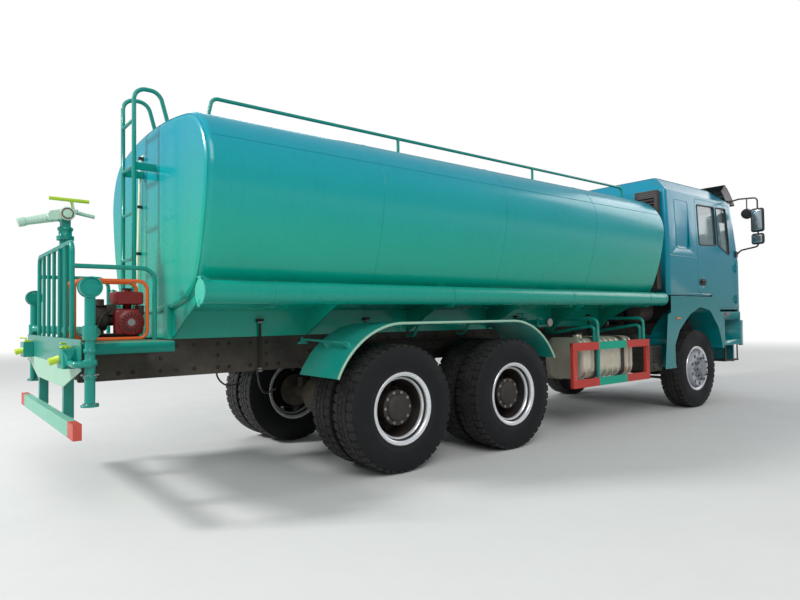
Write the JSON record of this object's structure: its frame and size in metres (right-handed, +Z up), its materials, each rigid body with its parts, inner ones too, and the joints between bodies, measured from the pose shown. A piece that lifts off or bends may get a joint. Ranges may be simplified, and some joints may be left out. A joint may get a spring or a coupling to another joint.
{
  "type": "tanker truck",
  "caption": "Three-axle water tanker truck: rounded tank, tilting high-roof cab, rear work platform with water cannon and motor pump.",
  "frame": {"origin": "on the ground under the middle of the truck's length and width", "axes": "+X forward, +Y to the driver's left, +Z up"},
  "size_m": [9.55, 3.15, 3.28],
  "materials": {
    "aluminium": "brushed",
    "axle_brown": "worn paint",
    "black_metal": "satin paint",
    "cab_teal": "gloss paint",
    "chassis_dark": "satin paint with road dirt",
    "clear_glass": "polished",
    "guard_red": "gloss paint",
    "interior_grey": "grained",
    "lamp_glass": "polished",
    "mirror_black": "grained",
    "pump_orange": "gloss paint",
    "rail_teal": "gloss paint",
    "steel_pipe": "gloss paint",
    "tank_teal": "gloss paint",
    "tyre_black": "moulded rubber"
  },
  "bodies": {
    "chassis": {"chassis_frame": "chassis_dark", "engine": "axle_brown", "leaf_springs": "chassis_dark", "front_axle": "axle_brown", "drive_axles": "axle_brown", "fuel_tank": "aluminium", "silencer": "black_metal", "air_intake": "black_metal", "battery_box": "black_metal", "side_guards": "guard_red", "mudguards": "cab_teal", "bumper": "cab_teal", "headlamps": "lamp_glass", "tank": "tank_teal", "tank_bearers": "rail_teal", "ladder_and_handrails": "rail_teal", "hose_tubes": "tank_teal", "rear_platform": "rail_teal", "rear_railing": "rail_teal", "underrun_bar": "rail_teal", "water_pipes": "steel_pipe", "motor_pump": "pump_orange"},
    "cab": {"cab_body": "cab_teal", "cab_roof": "cab_teal", "windscreen": "clear_glass", "visor_and_mirrors": "mirror_black", "cab_interior": "interior_grey"},
    "front_flap": {"front_flap": "cab_teal"},
    "door_left": {"door_left": "cab_teal", "door_glass_left": "clear_glass"},
    "door_right": {"door_right": "cab_teal", "door_glass_right": "clear_glass"},
    "tie_rod": {"tie_rod": "axle_brown"},
    "manhole_lid": {"manhole_lid": "tank_teal"},
    "cannon_turret": {"cannon_turret": "steel_pipe"},
    "cannon_barrel": {"cannon_barrel": "steel_pipe"},
    "knuckle_left": {"knuckle_left": "axle_brown"},
    "knuckle_right": {"knuckle_right": "axle_brown"},
    "front_wheel_left": {"front_wheel_left": "tyre_black"},
    "front_wheel_right": {"front_wheel_right": "tyre_black"},
    "middle_wheels_left": {"middle_wheels_left": "tyre_black"},
    "middle_wheels_right": {"middle_wheels_right": "tyre_black"},
    "rear_wheels_left": {"rear_wheels_left": "tyre_black"},
    "rear_wheels_right": {"rear_wheels_right": "tyre_black"},
    "hose_tube_cap_left": {"hose_tube_cap_left": "tank_teal"},
    "hose_tube_cap_right": {"hose_tube_cap_right": "tank_teal"}
  },
  "joints": [
    {"name": "cab_tilt", "type": "hinge", "parent": "chassis", "child": "cab", "pos_m": [4.575, 0, 1.3], "axis": [0, 1, 0], "range_deg": [0, 60]},
    {"name": "front_flap_hinge", "type": "hinge", "parent": "cab", "child": "front_flap", "pos_m": [4.704, 0, 2.083], "axis": [0, -1, 0], "range_deg": [0, 78]},
    {"name": "door_hinge_left", "type": "hinge", "parent": "cab", "child": "door_left", "pos_m": [4.438, 1.206, 1.75], "axis": [0, 0, -1], "range_deg": [0, 72]},
    {"name": "steering_left", "type": "hinge", "parent": "chassis", "child": "knuckle_left", "pos_m": [3.25, 0.84, 0.542], "axis": [0, 0, 1], "range_deg": [-35, 35]},
    {"name": "front_wheel_spin_left", "type": "hinge", "parent": "knuckle_left", "child": "front_wheel_left", "pos_m": [3.25, 1.012, 0.542], "axis": [0, 1, 0], "continuous": true},
    {"name": "middle_wheel_spin_left", "type": "hinge", "parent": "chassis", "child": "middle_wheels_left", "pos_m": [-0.725, 0.93, 0.542], "axis": [0, 1, 0], "continuous": true},
    {"name": "rear_wheel_spin_left", "type": "hinge", "parent": "chassis", "child": "rear_wheels_left", "pos_m": [-2.125, 0.93, 0.542], "axis": [0, 1, 0], "continuous": true},
    {"name": "hose_cap_hinge_left", "type": "hinge", "parent": "chassis", "child": "hose_tube_cap_left", "pos_m": [-3.84, 1.16, 1.605], "axis": [0, 1, 0], "range_deg": [0, 110]},
    {"name": "door_hinge_right", "type": "hinge", "parent": "cab", "child": "door_right", "pos_m": [4.438, -1.206, 1.75], "axis": [0, 0, 1], "range_deg": [0, 72]},
    {"name": "steering_right", "type": "hinge", "parent": "chassis", "child": "knuckle_right", "pos_m": [3.25, -0.84, 0.542], "axis": [0, 0, 1], "range_deg": [-35, 35]},
    {"name": "front_wheel_spin_right", "type": "hinge", "parent": "knuckle_right", "child": "front_wheel_right", "pos_m": [3.25, -1.012, 0.542], "axis": [0, 1, 0], "continuous": true},
    {"name": "middle_wheel_spin_right", "type": "hinge", "parent": "chassis", "child": "middle_wheels_right", "pos_m": [-0.725, -0.93, 0.542], "axis": [0, 1, 0], "continuous": true},
    {"name": "rear_wheel_spin_right", "type": "hinge", "parent": "chassis", "child": "rear_wheels_right", "pos_m": [-2.125, -0.93, 0.542], "axis": [0, 1, 0], "continuous": true},
    {"name": "hose_cap_hinge_right", "type": "hinge", "parent": "chassis", "child": "hose_tube_cap_right", "pos_m": [-3.84, -1.16, 1.605], "axis": [0, 1, 0], "range_deg": [0, 110]},
    {"name": "tie_rod_pin", "type": "hinge", "parent": "knuckle_left", "child": "tie_rod", "pos_m": [3.02, 0.84, 0.42], "axis": [0, 0, 1], "range_deg": [-35, 35]},
    {"name": "manhole_hinge", "type": "hinge", "parent": "chassis", "child": "manhole_lid", "pos_m": [-0.99, 0, 3.0123], "axis": [0, -1, 0], "range_deg": [0, 110]},
    {"name": "cannon_swing", "type": "hinge", "parent": "chassis", "child": "cannon_turret", "pos_m": [-4.455, 0, 1.96], "axis": [0, 0, 1], "range_deg": [-170, 170]},
    {"name": "cannon_nod", "type": "hinge", "parent": "cannon_turret", "child": "cannon_barrel", "pos_m": [-4.455, 0, 2.13], "axis": [0, 1, 0], "range_deg": [0, 60]}
  ],
  "couplings": [
    {"joint": "steering_right", "follows": "steering_left", "ratio": 1},
    {"joint": "tie_rod_pin", "follows": "steering_left", "ratio": -1}
  ]
}
